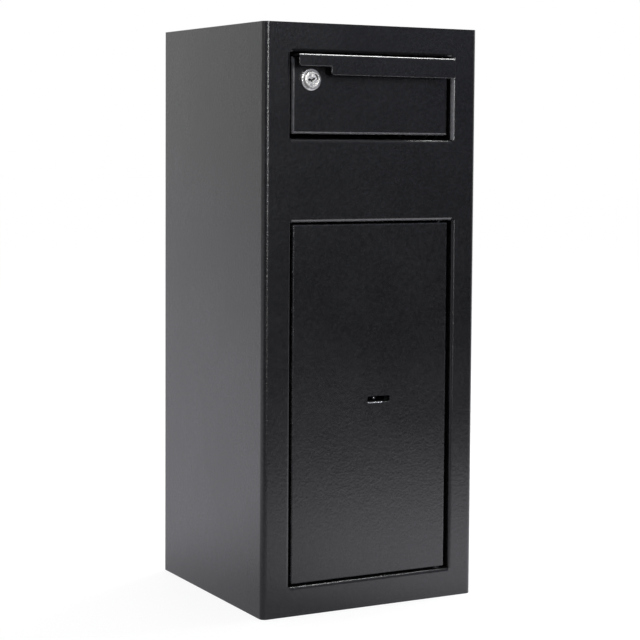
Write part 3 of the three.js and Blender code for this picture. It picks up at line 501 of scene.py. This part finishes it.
def lock_plug():
    """The turning head: a rounded rim round the sunken plug, with its crooked keyway."""
    shape = bmesh.new()
    grime = shape.faces.layers.float.new("grime")
    rings, bands = lathe(shape, HEAD_OUTLINE, False)
    first, last = (int(degrees * LATHE_SIDES / 360) for degrees in HEAD_STEP_SHADE)
    # Painted shade: a dark arc on one side of the step round the sunken plug
    for band in bands[HEAD_STEP[0] : HEAD_STEP[1]]:
        for step in range(first, last):
            band[step][grime] = 1.0
    # Painted shadow line along the disc's side wall at its base
    for face in bands[HEAD_FOOT]:
        face[grime] = 0.75
    shape.faces.new(rings[-1])
    face_depth = HEAD_OUTLINE[0][1]
    mouth = [shape.verts.new(on_lock(a, u, face_depth)) for a, u in KEYWAY]
    inner = [shape.verts.new(on_lock(a, u, face_depth + KEYWAY_DEPTH)) for a, u in KEYWAY]
    fill_between(shape, rings[0], mouth)
    # The keyway's walls and bottom get painted shade
    for step in range(len(KEYWAY)):
        after = (step + 1) % len(KEYWAY)
        face = shape.faces.new((mouth[step], mouth[after], inner[after], inner[step]))
        face[grime] = 0.9
    shape.faces.new(inner)[grime] = 1.0
    tail = bmesh.ops.create_cube(shape, size=1.0)["verts"]
    side = 2 * SQUARE_TAIL["half"]
    length = SQUARE_TAIL["to"] - SQUARE_TAIL["from"]
    middle = on_lock(0, 0, SQUARE_TAIL["from"] + length / 2)
    for corner in tail:
        corner.co = middle + Vector((corner.co.x * side, corner.co.y * length, corner.co.z * side)) / 1000
    bmesh.ops.recalc_face_normals(shape, faces=shape.faces)
    dress("cam_lock_plug", shape, "_turned", "chrome", SHARP_TURNED)


lock_flange()
lock_plug()


# The door plate, in mm: its edges, the keyhole through it and the lip that the key has rubbed bare
DOOR = {"left": -90.5, "right": 91.75, "bottom": 32.25, "top": 398.25, "front": 2.25, "back": 6.25}
DOOR_ROUND = {"left": 1.8, "right": 3.0, "bottom": 1.8, "top": 1.8}
DOOR_ROUND_STEPS = 7
DOOR_CORNER = 1.5
KEYHOLE = {"x": 10.0, "z": 216.0, "half": 13.0, "tall": 3.2, "drop": 2.6, "corner": 1.6, "middle": 3.7}
LIP = {"plain": 0.3, "rubbed": 1.1, "right": 14.4, "steps": 4}


def arc(centre, radius, start, end, steps):
    """Points on an arc, from start to end in degrees."""
    points = []
    for step in range(steps + 1):
        angle = math.radians(start + (end - start) * step / steps)
        points.append((centre[0] + radius * math.cos(angle), centre[1] + radius * math.sin(angle)))
    return points


def drawn_in(radius, depth):
    """How far a rolled edge of this radius lies inside the plate's edge at a depth from its face."""
    if depth >= radius:
        return 0.0
    return radius - math.sqrt(radius**2 - (radius - depth) ** 2)


def door_outline(depth):
    inset = {side: drawn_in(radius, depth) for side, radius in DOOR_ROUND.items()}
    corner = max(DOOR_CORNER - min(inset.values()), 0.1)
    right, left = DOOR["right"] - inset["right"] - corner, DOOR["left"] + inset["left"] + corner
    top, bottom = DOOR["top"] - inset["top"] - corner, DOOR["bottom"] + inset["bottom"] + corner
    points = []
    corners = [(right, top), (left, top), (left, bottom), (right, bottom)]
    for quarter, centre in enumerate(corners):
        points += arc(centre, corner, 90 * quarter, 90 * quarter + 90, 4)
    return points


def keyhole_outline():
    """A slot with a round rise in its middle, anticlockwise, with the way out at each point."""
    x, z, corner, middle = KEYHOLE["x"], KEYHOLE["z"], KEYHOLE["corner"], KEYHOLE["middle"]
    end, above, below = KEYHOLE["half"] - corner, KEYHOLE["tall"] - corner, KEYHOLE["drop"] - corner
    meet = math.degrees(math.asin(KEYHOLE["tall"] / middle))
    places, ways = [], []
    runs = [
        ((x + end, z + above), corner, 0, 90, 4),
        ((x, z), middle, meet, 180 - meet, 6),
        ((x - end, z + above), corner, 90, 180, 4),
        ((x - end, z - below), corner, 180, 270, 4),
        ((LIP["right"], z - below), corner, 270, 270, 0),
        ((x + end, z - below), corner, 270, 360, 4),
    ]
    for centre, radius, start, stop, steps in runs:
        for place in arc(centre, radius, start, stop, max(steps, 1))[: steps + 1]:
            way = Vector((0.0, 1.0)) if radius == middle else (Vector(place) - Vector(centre)).normalized()
            places.append(Vector(place))
            ways.append(way)
    return places, ways


def door_face():
    """The painted plate with rolled edges and the keyhole, whose lower lip is bare at the left."""
    shape = bmesh.new()
    edge = shape.faces.layers.float.new("edge")
    bare = shape.faces.layers.float.new("bare")

    def ring(points, depth):
        return [shape.verts.new(Vector((p[0], FRONT + depth, p[1])) / 1000) for p in points]

    def skin(rings, mark):
        for near, far in zip(rings, rings[1:]):
            for step in range(len(near)):
                after = (step + 1) % len(near)
                mark(shape.faces.new((near[step], near[after], far[after], far[step])))

    def mark_edge(face):
        face[edge] = 0.5

    def mark_bare(face):
        middle = face.calc_center_median() * 1000
        if middle.z < KEYHOLE["z"] - KEYHOLE["drop"] + 0.5 and middle.x < LIP["right"]:
            face[bare] = 1.0

    rolled = []
    for step in range(DOOR_ROUND_STEPS + 1):
        angle = math.radians(90 * step / DOOR_ROUND_STEPS)
        depth = max(DOOR_ROUND.values()) * (1 - math.cos(angle))
        rolled.append(ring(door_outline(depth), DOOR["front"] + depth))
    rolled.append(ring(door_outline(DOOR["back"]), DOOR["back"]))
    skin(rolled, mark_edge)

    places, ways = keyhole_outline()
    lip = []
    for step in range(LIP["steps"] + 1):
        angle = math.radians(90 * step / LIP["steps"])
        points = []
        for place, way in zip(places, ways):
            worn = way.y < -0.5 and place.x < LIP["right"]
            width = LIP["rubbed"] if worn else LIP["plain"]
            points.append(place + way * width * (1 - math.sin(angle)))
        lip.append(ring(points, DOOR["front"] + LIP["rubbed"] * (1 - math.cos(angle))))
    lip.append(ring(places, DOOR["back"]))
    skin(lip, mark_bare)
    fill_between(shape, rolled[0], lip[0])
    fill_between(shape, rolled[-1], lip[-1])
    bmesh.ops.recalc_face_normals(shape, faces=shape.faces)
    dress("door_plate", shape, "_rolled", "powder")


door_face()


# Studio


# The white table: its paint, and how much of a plain white glow stands in for it in the picture
FLOOR_REACH = 20.0
FLOOR_PAINT = grey(0.9)
FLOOR_ROUGHNESS = 0.6
FLOOR_GLOW = 1.16
FLOOR_GLOW_SHARE = 0.72
# The lit part of the table, which the satin paint mirrors below its middle
TABLE_COLOUR = colour(0.985, 0.975, 1.05)
POOL_CENTRE = (0.32, -0.36, 0.0)
POOL_SPAN = (0.12, 0.62)
POOL_LEVEL = 1.9
TABLE_FAR = 0.12
TABLE_NEAR = 1.1
TABLE_FADE = (-0.95, -0.1)
# The safe's own shade on the table to its left
SHADE_CENTRE = (-0.24, -0.12, 0.0)
SHADE_SPAN = (0.06, 0.5)
SHADE_LEVEL = 0.48
# The white room as it lights the safe, and as it is seen or mirrored
ROOM_LIGHT = 0.55
ROOM_SEEN = 1.0
# The room's walls, dim near the floor: name, the two ends of each foot, level at foot and top, colour
WALL_HEIGHT = 4.2
WALL_RISE = (0.1, 1.0)
WALL_COLOUR = colour(0.92, 0.95, 1.17)
WALLS = [
    ("wall_right", (0.3, -3.1), (5.5, -1.2), 0.04, 0.31, WALL_COLOUR),
    ("wall_left", (-3.2, -1.6), (-0.1, -3.1), 0.04, 0.31, WALL_COLOUR),
    ("wall_beside", (-1.55, 3.27), (-4.4, -0.6), 0.40, 0.58, grey(1.0)),
]
# Name, place, what it is aimed at, width and height in metres, and watts
LAMPS = [
    ("strip_front", (-0.22, -3.0, 1.4), (-0.22, 0.0, 1.4), (0.12, 1.8), 50),
    ("softbox_back", (-0.75, 3.2, 1.1), (-0.1, 0.0, 0.3), (1.5, 2.2), 1.5),
    ("softbox_top", (0.92, 0.3, 2.2), (0.92, 0.3, 0.5), (0.6, 1.2), 41),
    ("glint_top", (0.92, 0.3, 2.25), (0.92, 0.3, 0.5), (0.6, 1.2), 50),
]


def plane(name, corners, material):
    mesh = bpy.data.meshes.new(name)
    mesh.from_pydata(corners, [], [tuple(range(len(corners)))])
    mesh.materials.append(material)
    holder = bpy.data.objects.new(name, mesh)
    scene.collection.objects.link(holder)
    return holder


def floor_material():
    n = Nodes("floor")
    n.shader.inputs["Base Color"].default_value = FLOOR_PAINT
    n.shader.inputs["Roughness"].default_value = FLOOR_ROUGHNESS
    path = n.add("LightPath")
    away = n.add("VectorMath", {0: n.place, 1: POOL_CENTRE}, operation="DISTANCE").outputs["Value"]
    pool = n.spread(away, *POOL_SPAN, POOL_LEVEL, 0.0, "SMOOTHSTEP")
    back = n.add("SeparateXYZ", {"Vector": n.place}).outputs["Y"]
    table = n.spread(back, *TABLE_FADE, TABLE_FAR, TABLE_NEAR, "SMOOTHSTEP")
    beside = n.add("VectorMath", {0: n.place, 1: SHADE_CENTRE}, operation="DISTANCE").outputs["Value"]
    shade = n.spread(beside, *SHADE_SPAN, SHADE_LEVEL, 1.0, "SMOOTHSTEP")
    level = n.maths("MAXIMUM", pool, n.maths("MULTIPLY", table, shade))
    mirrored = n.add("Emission", {"Color": TABLE_COLOUR, "Strength": level}).outputs[0]
    glow = n.add("Emission", {"Color": grey(1.0), "Strength": FLOOR_GLOW}).outputs[0]
    share = n.maths("MULTIPLY", path.outputs["Is Camera Ray"], FLOOR_GLOW_SHARE)
    white = n.add("MixShader", {0: share, 1: n.shader.outputs[0], 2: glow})
    mix = n.add("MixShader", {0: path.outputs["Is Glossy Ray"], 1: white.outputs[0], 2: mirrored})
    n.tree.links.new(mix.outputs[0], n.tree.nodes["Material Output"].inputs["Surface"])
    return n.material


def make_floor():
    low, high = -FLOOR_REACH, FLOOR_REACH
    plane("floor", [(low, low, 0), (high, low, 0), (high, high, 0), (low, high, 0)], floor_material())


def make_room():
    """A white room, which lights the safe less than it is seen."""
    world = bpy.data.worlds.new("world")
    world.use_nodes = True
    scene.world = world
    tree = world.node_tree
    background = tree.nodes["Background"]
    path = tree.nodes.new("ShaderNodeLightPath")
    seen = tree.nodes.new("ShaderNodeMath")
    seen.operation = "MAXIMUM"
    tree.links.new(path.outputs["Is Camera Ray"], seen.inputs[0])
    tree.links.new(path.outputs["Is Glossy Ray"], seen.inputs[1])
    clear = tree.nodes.new("ShaderNodeMath")
    clear.operation = "MAXIMUM"
    tree.links.new(seen.outputs[0], clear.inputs[0])
    tree.links.new(path.outputs["Is Transmission Ray"], clear.inputs[1])
    strength = tree.nodes.new("ShaderNodeMapRange")
    strength.inputs["To Min"].default_value = ROOM_LIGHT
    strength.inputs["To Max"].default_value = ROOM_SEEN
    tree.links.new(clear.outputs[0], strength.inputs["Value"])
    tree.links.new(strength.outputs["Result"], background.inputs["Strength"])
    background.inputs["Color"].default_value = grey(1.0)


def area_light(name, place, aim, size, power):
    lamp = bpy.data.lights.new(name, "AREA")
    lamp.shape = "RECTANGLE"
    lamp.size, lamp.size_y = size
    lamp.energy = power
    holder = bpy.data.objects.new(name, lamp)
    scene.collection.objects.link(holder)
    holder.location = place
    holder.rotation_mode = "QUATERNION"
    holder.rotation_quaternion = (Vector(aim) - Vector(place)).to_track_quat("-Z", "Y")
    return holder


def grey_wall(name, start, end, low, high, tone):
    """A wall of the room out of view, which the satin paint mirrors."""
    n = Nodes(name)
    height = n.add("SeparateXYZ", {"Vector": n.place}).outputs["Z"]
    level = n.spread(height, *WALL_RISE, low, high)
    glow = n.add("Emission", {"Color": tone, "Strength": level}).outputs[0]
    n.tree.links.new(glow, n.tree.nodes["Material Output"].inputs["Surface"])
    corners = [(*start, 0.0), (*end, 0.0), (*end, WALL_HEIGHT), (*start, WALL_HEIGHT)]
    plane(name, corners, n.material).visible_camera = False


make_floor()
make_room()
for wall in WALLS:
    grey_wall(*wall)
lamps = {lamp[0]: area_light(*lamp) for lamp in LAMPS}
lamps["glint_top"].visible_diffuse = False
